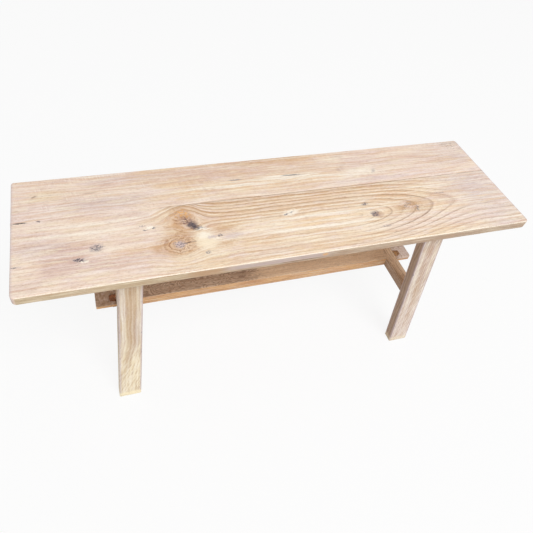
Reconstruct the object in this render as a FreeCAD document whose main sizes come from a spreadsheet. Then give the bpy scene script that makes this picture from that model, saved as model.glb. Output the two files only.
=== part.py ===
import FreeCAD, Part
import os
import Sketcher

# A plank bench, in millimetres. X runs along the bench, Y from its front to its back and Z up.
# The origin is on the floor, under the centre of the top.

# Driving sizes. Each becomes a cell of the sheet, under its own name.
SIZES = {
    # top
    "top_length": 1250,
    "top_width": 350,
    "top_thick": 23,
    "seat_height": 479,
    "seam_behind_middle": 32,
    "front_corner_radius": 12,
    "back_corner_radius": 8,
    "top_arris_radius": 3,
    # legs
    "leg_width": 56,
    "leg_thick": 30,
    "splay_along": 4.4,
    "splay_across": 7.0,
    "foot_inside_end": 175.5,
    "foot_outside_edge": 18.5,
    "leg_arris_chamfer": 2,
    "foot_chamfer": 2,
    "leg_tenon_width": 38,
    "leg_tenon_thick": 14,
    "leg_tenon_length": 15,
    # cross rails
    "rail_mid_height": 199,
    "rail_width": 33,
    "rail_depth": 30,
    "rail_arris_radius": 1.5,
    "rail_tenon_thick": 11,
    "rail_tenon_depth": 22,
    "rail_tenon_length": 20,
    # long stretcher
    "stretcher_width": 53,
    "stretcher_depth": 32,
    "stretcher_arris_radius": 1.5,
    "through_tenon_thick": 11,
    "through_tenon_beyond_rail": 54,
    "through_tenon_corner_radius": 6,
    # wedges
    "wedge_width": 15,
    "wedge_head_thick": 18,
    "wedge_foot_thick": 12,
    "wedge_above_tenon": 9,
    "wedge_below_tenon": 17,
    "wedge_arris_chamfer": 1,
    "wedge_mortise_width": 24,
    "wedge_mortise_forward": 4,
    "wedge_mortise_setback": 3,
    # dowels in the joint of the two boards
    "dowel_diameter": 8,
    "dowel_length": 50,
    "dowel_count": 5,
    "dowel_end_distance": 125,
    "dowel_chamfer": 1,
    # clearances
    "fit_gap": 0.2,
    "mortise_end_gap": 1,
}

# Derived places, as expressions on the sheet.
UNDERSIDE = "(sizes.seat_height - sizes.top_thick)"
LEAN_ALONG = "tan(sizes.splay_along)"
LEAN_ACROSS = "tan(sizes.splay_across)"
FOOT_OUTER_X = "(sizes.top_length / 2 - sizes.foot_inside_end)"
FOOT_OUTER_Y = "(sizes.top_width / 2 + sizes.foot_outside_edge)"
FOOT_CENTRE_X = f"({FOOT_OUTER_X} - sizes.leg_width / 2)"
FOOT_CENTRE_Y = f"({FOOT_OUTER_Y} - sizes.leg_thick / 2)"
RAIL_CENTRE_X = f"({FOOT_CENTRE_X} - {LEAN_ALONG} * sizes.rail_mid_height)"
RAIL_INNER_X = f"({RAIL_CENTRE_X} - sizes.rail_width / 2)"
RAIL_OUTER_X = f"({RAIL_CENTRE_X} + sizes.rail_width / 2)"
LEG_INNER_Y_AT_FLOOR = f"({FOOT_OUTER_Y} - sizes.leg_thick)"
LEG_INNER_Y_AT_RAIL = f"({LEG_INNER_Y_AT_FLOOR} - {LEAN_ACROSS} * sizes.rail_mid_height)"
RAIL_TENON_END_Y = f"({LEG_INNER_Y_AT_RAIL} + sizes.rail_tenon_length)"
THROUGH_TENON_END_X = f"({RAIL_OUTER_X} + sizes.through_tenon_beyond_rail)"
WEDGE_TAPER = ("((sizes.wedge_head_thick - sizes.wedge_foot_thick) / (sizes.wedge_above_tenon"
               " + sizes.through_tenon_thick + sizes.wedge_below_tenon))")

SIDES = {"left": -1, "right": 1}
ENDS = {"front": -1, "back": 1}

doc = FreeCAD.newDocument("bench")


def make_sheet():
    sheet = doc.addObject("Spreadsheet::Sheet", "sizes")
    for row, (name, value) in enumerate(SIZES.items(), start=1):
        sheet.set(f"A{row}", name)
        sheet.set(f"B{row}", str(value))
        sheet.setAlias(f"B{row}", name)
    doc.recompute()


def bind(item, **expressions):
    for name, expression in expressions.items():
        item.setExpression(name.replace("__", "."), expression)


def make_body(label, x="0", y="0", z="0"):
    body = doc.addObject("PartDesign::Body", label)
    body.Label = label
    bind(body, Placement__Base__x=x, Placement__Base__y=y, Placement__Base__z=z)
    return body


def origin_feature(body, role):
    return next(item for item in body.Origin.OriginFeatures if item.Role == role)


def make_sketch(body, name, plane, x="0", y="0", z="0"):
    """A sketch on one of the body's planes. x, y and z move it, z along the sketch's normal."""
    sketch = body.newObject("Sketcher::SketchObject", name)
    sketch.AttachmentSupport = (origin_feature(body, plane), "")
    sketch.MapMode = "FlatFace"
    bind(sketch, AttachmentOffset__Base__x=x, AttachmentOffset__Base__y=y,
         AttachmentOffset__Base__z=z)
    return sketch


def add_outline(sketch, corners):
    """Closes a loop of lines through the corners, given as rough numbers in order."""
    points = [FreeCAD.Vector(x, y, 0) for x, y in corners]
    for start, end in zip(points, points[1:] + points[:1]):
        sketch.addGeometry(Part.LineSegment(start, end), False)
    count = len(points)
    for index in range(count):
        following = (index + 1) % count
        sketch.addConstraint(Sketcher.Constraint("Coincident", index, 2, following, 1))


def set_size(sketch, constraint, name, expression):
    index = sketch.addConstraint(constraint)
    sketch.renameConstraint(index, name)
    sketch.setExpression(f"Constraints.{name}", expression)


def rectangle(body, name, plane, width, depth, **offset):
    """A rectangle centred on the sketch's own origin."""
    sketch = make_sketch(body, name, plane, **offset)
    add_outline(sketch, [(-5, -5), (5, -5), (5, 5), (-5, 5)])
    for edge in (0, 2):
        sketch.addConstraint(Sketcher.Constraint("Horizontal", edge))
    for edge in (1, 3):
        sketch.addConstraint(Sketcher.Constraint("Vertical", edge))
    sketch.addConstraint(Sketcher.Constraint("Symmetric", 0, 1, 1, 2, -1, 1))
    set_size(sketch, Sketcher.Constraint("DistanceX", 0, 1, 0, 2, 10), "width", width)
    set_size(sketch, Sketcher.Constraint("DistanceY", 1, 1, 1, 2, 10), "depth", depth)
    return sketch


def eased_rectangle(body, name, plane, width, depth, chamfer):
    """A rectangle centred on the body's origin, with its four corners cut off."""
    sketch = make_sketch(body, name, plane)
    add_outline(sketch, [(-8, -10), (8, -10), (10, -8), (10, 8), (8, 10), (-8, 10), (-10, 8),
                         (-10, -8)])
    for edge, point in ((0, 1), (0, 2), (2, 1), (2, 2)):
        sketch.addConstraint(
            Sketcher.Constraint("Symmetric", edge, point, edge + 4, point, -1, 1))
    sketch.addConstraint(Sketcher.Constraint("Symmetric", 0, 1, 0, 2, -2))
    sketch.addConstraint(Sketcher.Constraint("Symmetric", 2, 1, 2, 2, -1))
    set_size(sketch, Sketcher.Constraint("DistanceX", 0, 1, 0, 2, 16), "flat_width",
             f"{width} - 2 * {chamfer}")
    set_size(sketch, Sketcher.Constraint("DistanceY", 2, 1, 2, 2, 16), "flat_depth",
             f"{depth} - 2 * {chamfer}")
    set_size(sketch, Sketcher.Constraint("DistanceX", -1, 1, 2, 1, 10), "half_width",
             f"{width} / 2")
    set_size(sketch, Sketcher.Constraint("DistanceY", 0, 1, -1, 1, 10), "half_depth",
             f"{depth} / 2")
    return sketch


def pad(body, name, sketch, length):
    """Pads a sketch to both sides of its plane."""
    feature = body.newObject("PartDesign::Pad", name)
    feature.Profile = sketch
    feature.Midplane = True
    bind(feature, Length=length)
    doc.recompute()
    return feature


def pocket(body, name, sketch, length):
    """Cuts a sketch out to both sides of its plane."""
    feature = body.newObject("PartDesign::Pocket", name)
    feature.Profile = sketch
    feature.Midplane = True
    bind(feature, Length=length)
    doc.recompute()
    return feature


def leaning(body, kind, name, sketch, rise, side, end):
    """Carries a level sketch up along the lean of a leg. kind is Pad or Pocket."""
    feature = body.newObject(f"PartDesign::{kind}", name)
    feature.Profile = sketch
    feature.UseCustomVector = True
    feature.AlongSketchNormal = True
    bind(feature, Direction__x=f"{-side} * {LEAN_ALONG}", Direction__y=f"{-end} * {LEAN_ACROSS}",
         Direction__z="1", Length=rise)
    doc.recompute()
    return feature


def edge_names(feature, wanted):
    edges = enumerate(feature.Shape.Edges, start=1)
    return [f"Edge{number}" for number, edge in edges if wanted(edge)]


def ease(body, kind, name, base, wanted, size):
    """Rounds or chamfers the wanted edges of the base. kind is Fillet or Chamfer."""
    feature = body.newObject(f"PartDesign::{kind}", name)
    feature.Base = (base, edge_names(base, wanted))
    bind(feature, **{"Radius" if kind == "Fillet" else "Size": size})
    doc.recompute()
    return feature


def middle(edge):
    return edge.BoundBox.Center


def runs_along(edge, axis):
    """True for an edge that is longer along the axis, 0 for x, 1 for y or 2 for z, than across."""
    box = edge.BoundBox
    lengths = [box.XLength, box.YLength, box.ZLength]
    return lengths[axis] > 0.9 * sum(lengths)


def make_leg(label, side, end):
    """A leg from its foot to the underside of the top, with its tenon and the rail's mortise."""
    leg = make_body(label, x=f"{side} * {FOOT_CENTRE_X}", y=f"{end} * {FOOT_CENTRE_Y}")
    foot = eased_rectangle(leg, "foot", "XY_Plane", "sizes.leg_width", "sizes.leg_thick",
                           "sizes.leg_arris_chamfer")
    shaft = leaning(leg, "Pad", "shaft", foot, UNDERSIDE, side, end)
    ease(leg, "Chamfer", "foot_arris", shaft,
         lambda edge: edge.BoundBox.ZMax < 0.01, "sizes.foot_chamfer")
    tenon_root = rectangle(leg, "tenon_root", "XY_Plane", "sizes.leg_tenon_width",
                           "sizes.leg_tenon_thick", x=f"{-side} * {LEAN_ALONG} * {UNDERSIDE}",
                           y=f"{-end} * {LEAN_ACROSS} * {UNDERSIDE}", z=UNDERSIDE)
    leaning(leg, "Pad", "tenon", tenon_root, "sizes.leg_tenon_length", side, end)
    # The XZ plane's sketches have their normal along -Y.
    mouth = rectangle(leg, "rail_mortise_mouth", "XZ_Plane",
                      "sizes.rail_tenon_thick + 2 * sizes.fit_gap",
                      "sizes.rail_tenon_depth + 2 * sizes.fit_gap",
                      x=f"{-side} * {LEAN_ALONG} * sizes.rail_mid_height",
                      y="sizes.rail_mid_height",
                      z=f"{end} * ({FOOT_CENTRE_Y} - {LEG_INNER_Y_AT_RAIL})")
    pocket(leg, "rail_mortise", mouth, "2 * (sizes.rail_tenon_length + sizes.mortise_end_gap)")
    return leg


def leg_mortise(board, label, side, end):
    """The mortise that a leg's tenon stands in, leaning with the leg."""
    mouth = rectangle(board, f"{label}_mortise_mouth", "XY_Plane",
                      "sizes.leg_tenon_width + 2 * sizes.fit_gap",
                      "sizes.leg_tenon_thick + 2 * sizes.fit_gap",
                      x=f"{side} * ({FOOT_CENTRE_X} - {LEAN_ALONG} * {UNDERSIDE})",
                      y=f"{end} * ({FOOT_CENTRE_Y} - {LEAN_ACROSS} * {UNDERSIDE})")
    leaning(board, "Pocket", f"{label}_mortise", mouth,
            "sizes.leg_tenon_length + sizes.mortise_end_gap", side, end)


def dowel_bores(board):
    """Bores for the dowels, in a row along the joint."""
    sketch = make_sketch(board, "dowel_bore_mouth", "XZ_Plane",
                         x="sizes.dowel_end_distance - sizes.top_length / 2",
                         y="sizes.top_thick / 2", z="-sizes.seam_behind_middle")
    sketch.addGeometry(Part.Circle(FreeCAD.Vector(0, 0, 0), FreeCAD.Vector(0, 0, 1), 4), False)
    sketch.addConstraint(Sketcher.Constraint("Coincident", 0, 3, -1, 1))
    set_size(sketch, Sketcher.Constraint("Diameter", 0, 8), "bore",
             "sizes.dowel_diameter + 2 * sizes.fit_gap")
    bore = pocket(board, "dowel_bore", sketch, "sizes.dowel_length + 2 * sizes.mortise_end_gap")
    row = board.newObject("PartDesign::LinearPattern", "dowel_bore_row")
    row.Originals = [bore]
    row.Direction = (origin_feature(board, "X_Axis"), [""])
    bind(row, Length="sizes.top_length - 2 * sizes.dowel_end_distance",
         Occurrences="sizes.dowel_count")
    board.Tip = row
    doc.recompute()


def make_board(end_name, end):
    """One board of the top. It is eased all round, apart from its edge in the joint."""
    board = make_body(f"top_{end_name}_board", z=UNDERSIDE)
    outer = f"({end} * sizes.top_width / 2)"
    width = f"(sizes.top_width / 2 - {end} * sizes.seam_behind_middle)"
    outline = rectangle(board, "outline", "XY_Plane", "sizes.top_length", width,
                        y=f"({outer} + sizes.seam_behind_middle) / 2",
                        z="sizes.top_thick / 2")
    slab = pad(board, "slab", outline, "sizes.top_thick")
    seam = SIZES["seam_behind_middle"]
    rounded = ease(board, "Fillet", "corners", slab,
                   lambda edge: runs_along(edge, 2) and end * (middle(edge).y - seam) > 1,
                   f"sizes.{end_name}_corner_radius")
    ease(board, "Fillet", "arrises", rounded,
         lambda edge: edge.BoundBox.ZLength < 0.01 and end * (middle(edge).y - seam) > 1,
         "sizes.top_arris_radius")
    for side_name, side in SIDES.items():
        leg_mortise(board, f"{side_name}_leg", side, end)
    dowel_bores(board)
    return board


def make_dowels():
    """The dowels of the board joint, a group of like cylinders lying along Y."""
    dowels = []
    for number in range(int(SIZES["dowel_count"])):
        blank = doc.addObject("Part::Cylinder", f"dowel_blank_{number + 1}")
        step = "(sizes.top_length - 2 * sizes.dowel_end_distance) / (sizes.dowel_count - 1)"
        blank.Placement.Rotation = FreeCAD.Rotation(FreeCAD.Vector(1, 0, 0), -90)
        bind(blank, Radius="sizes.dowel_diameter / 2", Height="sizes.dowel_length",
             Placement__Base__x=f"sizes.dowel_end_distance - sizes.top_length / 2"
                                f" + {number} * {step}",
             Placement__Base__y="sizes.seam_behind_middle - sizes.dowel_length / 2",
             Placement__Base__z=f"{UNDERSIDE} + sizes.top_thick / 2")
        doc.recompute()
        dowel = doc.addObject("Part::Chamfer", f"dowel_{number + 1}")
        dowel.Base = blank
        rims = [index for index, edge in enumerate(blank.Shape.Edges, start=1)
                if edge.BoundBox.YLength < 0.01]
        dowel.Edges = [(index, SIZES["dowel_chamfer"], SIZES["dowel_chamfer"]) for index in rims]
        dowels.append(dowel)
    group = doc.addObject("Part::Compound", "board_joint_dowels")
    group.Label = "board_joint_dowels"
    group.Links = dowels
    doc.recompute()
    return group


def make_rail(label, side):
    """A cross rail, cut at its ends to the lean of the legs, with a blind tenon at each end."""
    rail = make_body(label, x=f"{side} * {RAIL_CENTRE_X}", z="sizes.rail_mid_height")
    profile = make_sketch(rail, "side_view", "YZ_Plane", y="-sizes.rail_depth / 2")
    add_outline(profile, [(-140, 0), (140, 0), (137, 30), (-137, 30)])
    for edge in (0, 2):
        profile.addConstraint(Sketcher.Constraint("Symmetric", edge, 1, edge, 2, -2))
    profile.addConstraint(Sketcher.Constraint("PointOnObject", 0, 1, -1))
    half_drop = f"{LEAN_ACROSS} * sizes.rail_depth / 2"
    set_size(profile, Sketcher.Constraint("DistanceX", 0, 1, 0, 2, 280), "lower_length",
             f"2 * ({LEG_INNER_Y_AT_RAIL} + {half_drop})")
    set_size(profile, Sketcher.Constraint("DistanceX", 2, 2, 2, 1, 274), "upper_length",
             f"2 * ({LEG_INNER_Y_AT_RAIL} - {half_drop})")
    set_size(profile, Sketcher.Constraint("DistanceY", 0, 1, 2, 2, 30), "depth",
             "sizes.rail_depth")
    bar = pad(rail, "bar", profile, "sizes.rail_width")
    ease(rail, "Fillet", "long_arrises", bar, lambda edge: runs_along(edge, 1),
         "sizes.rail_arris_radius")
    tenon = rectangle(rail, "tenon_view", "YZ_Plane", f"2 * {RAIL_TENON_END_Y}",
                      "sizes.rail_tenon_depth")
    pad(rail, "tenons", tenon, "sizes.rail_tenon_thick")
    mouth = rectangle(rail, "stretcher_mortise_mouth", "YZ_Plane",
                      "sizes.stretcher_width + 2 * sizes.fit_gap",
                      "sizes.through_tenon_thick + 2 * sizes.fit_gap")
    pocket(rail, "stretcher_mortise", mouth, "2 * sizes.rail_width")
    return rail


def wedge_outline(sketch, inner, upper, lower, thick_above, thick_below):
    """The wedge seen from the front: its inner side is upright and its outer side leans."""
    add_outline(sketch, [(0, -10), (12, -10), (18, 10), (0, 10)])
    for edge in (0, 2):
        sketch.addConstraint(Sketcher.Constraint("Horizontal", edge))
    sketch.addConstraint(Sketcher.Constraint("Vertical", 3))
    sketch.addConstraint(Sketcher.Constraint("PointOnObject", 0, 1, -2))
    set_size(sketch, Sketcher.Constraint("DistanceY", -1, 1, 2, 1, 10), "upper", upper)
    set_size(sketch, Sketcher.Constraint("DistanceY", 0, 1, -1, 1, 10), "lower", lower)
    set_size(sketch, Sketcher.Constraint("DistanceX", 2, 2, 2, 1, 18), "thick_above",
             f"{inner} + {thick_above}")
    set_size(sketch, Sketcher.Constraint("DistanceX", 0, 1, 0, 2, 12), "thick_below",
             f"{inner} + {thick_below}")


def make_stretcher():
    """The long flat bar, with a thin through tenon at each end and a wedge mortise in each."""
    stretcher = make_body("long_stretcher", z="sizes.rail_mid_height")
    section = rectangle(stretcher, "section", "YZ_Plane", "sizes.stretcher_width",
                        "sizes.stretcher_depth")
    bar = pad(stretcher, "bar", section, f"2 * {RAIL_INNER_X}")
    ease(stretcher, "Fillet", "long_arrises", bar, lambda edge: runs_along(edge, 0),
         "sizes.stretcher_arris_radius")
    tenon_section = rectangle(stretcher, "tenon_section", "YZ_Plane", "sizes.stretcher_width",
                              "sizes.through_tenon_thick")
    tenons = pad(stretcher, "through_tenons", tenon_section, f"2 * {THROUGH_TENON_END_X}")
    far_end = max(vertex.X for vertex in tenons.Shape.Vertexes)
    ease(stretcher, "Fillet", "tenon_corners", tenons,
         lambda edge: runs_along(edge, 2) and abs(middle(edge).x) > far_end - 0.01,
         "sizes.through_tenon_corner_radius")
    # The XZ plane's sketches have their normal along -Y, so a positive z goes to the front.
    wedge_hole = make_sketch(stretcher, "wedge_mortise_view", "XZ_Plane",
                             x=f"{RAIL_OUTER_X} - sizes.wedge_mortise_setback",
                             z="sizes.wedge_mortise_forward")
    half_tenon = "sizes.through_tenon_thick / 2"
    beyond = "sizes.mortise_end_gap"
    at_upper = f"sizes.wedge_head_thick - (sizes.wedge_above_tenon - {beyond}) * {WEDGE_TAPER}"
    at_lower = f"sizes.wedge_foot_thick + (sizes.wedge_below_tenon - {beyond}) * {WEDGE_TAPER}"
    wedge_outline(wedge_hole, "sizes.wedge_mortise_setback + sizes.fit_gap",
                  f"{half_tenon} + {beyond}", f"{half_tenon} + {beyond}", at_upper, at_lower)
    right_hole = pocket(stretcher, "right_wedge_mortise", wedge_hole, "sizes.wedge_mortise_width")
    both = stretcher.newObject("PartDesign::Mirrored", "wedge_mortises")
    both.Originals = [right_hole]
    both.MirrorPlane = (origin_feature(stretcher, "YZ_Plane"), [""])
    stretcher.Tip = both
    doc.recompute()
    return stretcher


def make_wedge(label, side):
    """A wedge in the through tenon. Its upright side bears on the outside of the rail."""
    wedge_y = ("-sizes.wedge_mortise_forward - sizes.wedge_mortise_width / 2"
               " + sizes.fit_gap + sizes.wedge_width / 2")
    wedge = make_body(label, x=f"{side} * {RAIL_OUTER_X}", y=wedge_y, z="sizes.rail_mid_height")
    if side < 0:
        wedge.Placement.Rotation = FreeCAD.Rotation(FreeCAD.Vector(0, 0, 1), 180)
    outline = make_sketch(wedge, "front_view", "XZ_Plane")
    half_tenon = "sizes.through_tenon_thick / 2"
    wedge_outline(outline, "0", f"{half_tenon} + sizes.wedge_above_tenon",
                  f"{half_tenon} + sizes.wedge_below_tenon",
                  "sizes.wedge_head_thick", "sizes.wedge_foot_thick")
    blank = pad(wedge, "blank", outline, "sizes.wedge_width")
    ease(wedge, "Chamfer", "ends", blank,
         lambda edge: edge.BoundBox.ZLength < 0.01, "sizes.wedge_arris_chamfer")
    return wedge


def build():
    make_sheet()
    pieces = [make_board(name, end) for name, end in ENDS.items()]
    pieces.append(make_dowels())
    for end_name, end in ENDS.items():
        for side_name, side in SIDES.items():
            pieces.append(make_leg(f"{end_name}_{side_name}_leg", side, end))
    for side_name, side in SIDES.items():
        pieces.append(make_rail(f"{side_name}_cross_rail", side))
    pieces.append(make_stretcher())
    for side_name, side in SIDES.items():
        pieces.append(make_wedge(f"{side_name}_tenon_wedge", side))
    doc.recompute()
    return pieces


def check(pieces):
    failed = [item.Name for item in doc.Objects
              if "Invalid" in item.State or "Error" in item.State]
    if failed:
        raise RuntimeError(f"these objects failed: {failed}")
    for piece in pieces:
        if piece.Shape.isNull() or not piece.Shape.isValid():
            raise RuntimeError(f"{piece.Label} has no valid shape")


def write(pieces):
    os.makedirs("parts", exist_ok=True)
    for piece in pieces:
        shape = piece.Shape
        shape.exportStep(f"parts/{piece.Label}.step")
        box = shape.BoundBox
        print(f"{piece.Label}: {len(shape.Solids)} solid(s), {shape.Volume:.0f} mm3,"
              f" x {box.XMin:.1f} to {box.XMax:.1f}, y {box.YMin:.1f} to {box.YMax:.1f},"
              f" z {box.ZMin:.1f} to {box.ZMax:.1f}")


PIECES = build()
check(PIECES)
write(PIECES)
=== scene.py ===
"""Dresses a worn plank bench: a thin jointed top on splayed flat legs, with a wedged stretcher.

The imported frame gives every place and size. X runs along the bench, Y to its back and Z up.
"""
import math

import bmesh
import bpy
from mathutils import Matrix, Vector


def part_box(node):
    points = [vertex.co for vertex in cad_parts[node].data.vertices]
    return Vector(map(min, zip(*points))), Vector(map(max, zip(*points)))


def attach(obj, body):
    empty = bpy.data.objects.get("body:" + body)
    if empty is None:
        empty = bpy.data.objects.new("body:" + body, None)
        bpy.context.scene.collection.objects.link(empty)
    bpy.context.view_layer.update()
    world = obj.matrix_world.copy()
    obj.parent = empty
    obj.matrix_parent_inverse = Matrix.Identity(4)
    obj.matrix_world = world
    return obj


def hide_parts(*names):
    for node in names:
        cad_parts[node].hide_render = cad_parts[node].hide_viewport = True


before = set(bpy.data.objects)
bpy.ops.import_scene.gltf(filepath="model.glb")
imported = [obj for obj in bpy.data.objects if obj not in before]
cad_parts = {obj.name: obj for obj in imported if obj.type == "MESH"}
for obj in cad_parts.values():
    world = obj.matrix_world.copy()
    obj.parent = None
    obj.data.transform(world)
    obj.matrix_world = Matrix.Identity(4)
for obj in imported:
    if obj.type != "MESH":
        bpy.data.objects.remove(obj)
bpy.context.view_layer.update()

bl_info = {
    "name": "Worn Plank Bench",
    "version": (1, 0, 0),
    "blender": (4, 5, 0),
    "location": "3D View > Sidebar > Bench",
    "description": "Models a worn plank bench with a wedged stretcher on its fixed frame",
    "category": "Object",
}

MM = 0.001
LEAN_ALONG = math.tan(math.radians(4.4))
LEAN_ACROSS = math.tan(math.radians(7.0))
SIDES = {"left": -1, "right": 1}
ENDS = {"front": -1, "back": 1}
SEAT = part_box("top_front_board")[1].z / MM
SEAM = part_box("top_front_board")[1].y / MM
HALF_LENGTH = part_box("top_front_board")[1].x / MM
HALF_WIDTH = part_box("top_back_board")[1].y / MM
BOARD = 23
FOOT_X = 421.5
FOOT_Y = 178.5
LEG_HALF_X = 28
LEG_HALF_Y = 15
FOOT_FLARE = 59 / 56
RAIL_MIDDLE = 199
RAIL_HALF = FOOT_Y - LEG_HALF_Y - LEAN_ACROSS * RAIL_MIDDLE
ROW = 12 * MM
STRETCHER_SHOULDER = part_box("right_cross_rail")[0].x / MM
RAIL_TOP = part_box("long_stretcher")[1].z / MM


def srgb(red, green, blue):
    """A colour as it looks on a screen, 0 to 255, in the linear numbers that shaders use."""
    parts = [value / 255 for value in (red, green, blue)]
    return tuple(p / 12.92 if p <= 0.04045 else ((p + 0.055) / 1.055) ** 2.4 for p in parts)


# Sizes and colours that a user would change

def length(name, description, millimetres):
    return bpy.props.FloatProperty(name=name, description=description,
                                   default=millimetres * MM, min=0.0, unit="LENGTH")


def colour(name, description, red, green, blue):
    return bpy.props.FloatVectorProperty(name=name, description=description, subtype="COLOR",
                                         default=srgb(red, green, blue), min=0.0, max=1.0)


class BenchSizes(bpy.types.PropertyGroup):
    """Sizes of the worn surfaces. The pieces' own sizes come from the frame."""

    front_corner: length("Front corner", "Radius of the top's front corners", 12)
    back_corner: length("Back corner", "Radius of the top's back corners", 8)
    top_arris: length("Top arris", "Radius of the top's upper and lower edges", 3)
    seam_arris: length("Seam arris", "Radius of the boards' edges in their joint", 0.5)
    leg_arris: length("Leg arris", "Width of the eased edges of the legs", 2.4)
    rail_arris: length("Rail arris", "Radius of the long edges of the rails", 1.8)
    wedge_arris: length("Wedge arris", "Width of the eased edges of the wedges", 1)
    sag: length("Hollows", "Depth of the wide shallow hollows that wear has left", 0.9)
    dents: length("Dents", "Depth of the small dents of wear", 0.35)


class BenchColours(bpy.types.PropertyGroup):
    """Colours of the bleached and weathered wood."""

    pale: colour("Pale wood", "Bleached wood of the top", 247, 230, 208)
    warm: colour("Warm wood", "Warm wood of the top's middle", 240, 214, 182)
    pink: colour("Pink wood", "Pinkish bleached wood", 240, 217, 200)
    rosy: colour("Rosy white", "Lilac white drifts in the grain", 242, 224, 222)
    yellowish: colour("Yellowish white", "Yellowish drifts in the grain", 243, 227, 196)
    cream: colour("Cream", "Cream scar beside the knots", 250, 234, 206)
    honey: colour("Honey wood", "Light golden wood round the knots", 238, 200, 148)
    mauve: colour("Mauve stain", "Dull mauve stain of the top", 210, 178, 170)
    weathered: colour("Weathered wood", "Greyish wood at the right end", 230, 214, 206)
    bleached: colour("Streaks", "Whitest streaks of the early wood", 255, 246, 230)
    tan: colour("Tan wood", "Tan wood round the knots", 222, 178, 136)
    brown: colour("Brown wood", "Brown wood of the front board along the joint", 196, 154, 116)
    ring: colour("Rings", "Late wood of the year rings", 176, 134, 98)
    ring_dark: colour("Dark rings", "Thin dark rings and pores", 146, 112, 90)
    lilac: colour("Lilac grey", "Lilac grey of weathered patches", 204, 188, 192)
    slate: colour("Slate grey", "Blue grey of old marks", 136, 130, 138)
    plum: colour("Plum brown", "Purplish brown bruise of the main knot", 132, 96, 92)
    knot: colour("Knot", "Dark heart of a knot", 74, 68, 78)
    knot_brown: colour("Knot brown", "Brown wood round a knot", 196, 148, 102)
    rust: colour("Rust brown", "Reddish brown specks", 156, 104, 72)
    rust_tan: colour("Reddish rail", "Reddish stretches of the rails' sides", 212, 150, 108)
    resin: colour("Resin", "Orange specks beside a knot", 236, 178, 104)
    edge: colour("Edge wood", "Wood of the top's edges", 200, 178, 146)
    edge_brown: colour("Brown edge wood", "Browner wood of the edges", 184, 160, 138)
    leg: colour("Leg wood", "Pale yellowish wood of the legs", 220, 200, 168)
    leg_pink: colour("Pinkish leg wood", "Pinkish wood of the legs", 212, 196, 184)
    leg_streak: colour("Leg streak", "Tan streaks of the legs", 188, 154, 122)
    fresh: colour("Fresh wood", "Wood that was scraped or cut later", 255, 241, 206)
    rail: colour("Rail wood", "Tan wood of the underside", 226, 186, 150)
    rail_front: colour("Rail front", "Orange tan of the rails' sides", 240, 188, 130)
    rail_top: colour("Rail top", "Greyish tan of the rails' tops", 228, 196, 162)
    # rail_grey and rail_dark are also the painted shade of the legs' inner faces and the cross
    # rails' sides
    rail_grey: colour("Dull rail top", "Dull brown parts of the rails' tops", 186, 158, 134)
    rail_ring: colour("Rail rings", "Brown grain of the rails", 190, 142, 102)
    rail_dark: colour("Dark rail grain", "Darkest grain of the rails", 128, 96, 76)
    wedge: colour("Wedge wood", "Orange-brown wood of the wedges", 164, 104, 70)
    # wedge_dark also paints the shadow line along the lower front edge of the top
    wedge_dark: colour("Dark wedge wood", "Dark stains of the wedges", 92, 70, 56)
    dowel: colour("Dowel wood", "Raw wood of the hidden dowels", 214, 184, 142)
    floor: colour("Floor", "Plain pale floor", 228, 228, 228)


# Shader maths

class Value:
    """A number or colour over a surface. Sums written with it become Math nodes."""

    def __init__(self, surface, socket):
        self.surface = surface
        self.socket = socket

    def twin(self, output):
        """Another output of the same node."""
        return Value(self.surface, self.socket.node.outputs[output])

    def __add__(self, other):
        return self.surface.maths("ADD", self, other)

    def __sub__(self, other):
        return self.surface.maths("SUBTRACT", self, other)

    def __rsub__(self, other):
        return self.surface.maths("SUBTRACT", other, self)

    def __mul__(self, other):
        return self.surface.maths("MULTIPLY", self, other)

    def __truediv__(self, other):
        return self.surface.maths("DIVIDE", self, other)

    def __rtruediv__(self, other):
        return self.surface.maths("DIVIDE", other, self)

    def __pow__(self, other):
        return self.surface.maths("POWER", self, other)

    __radd__ = __add__
    __rmul__ = __mul__


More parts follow.
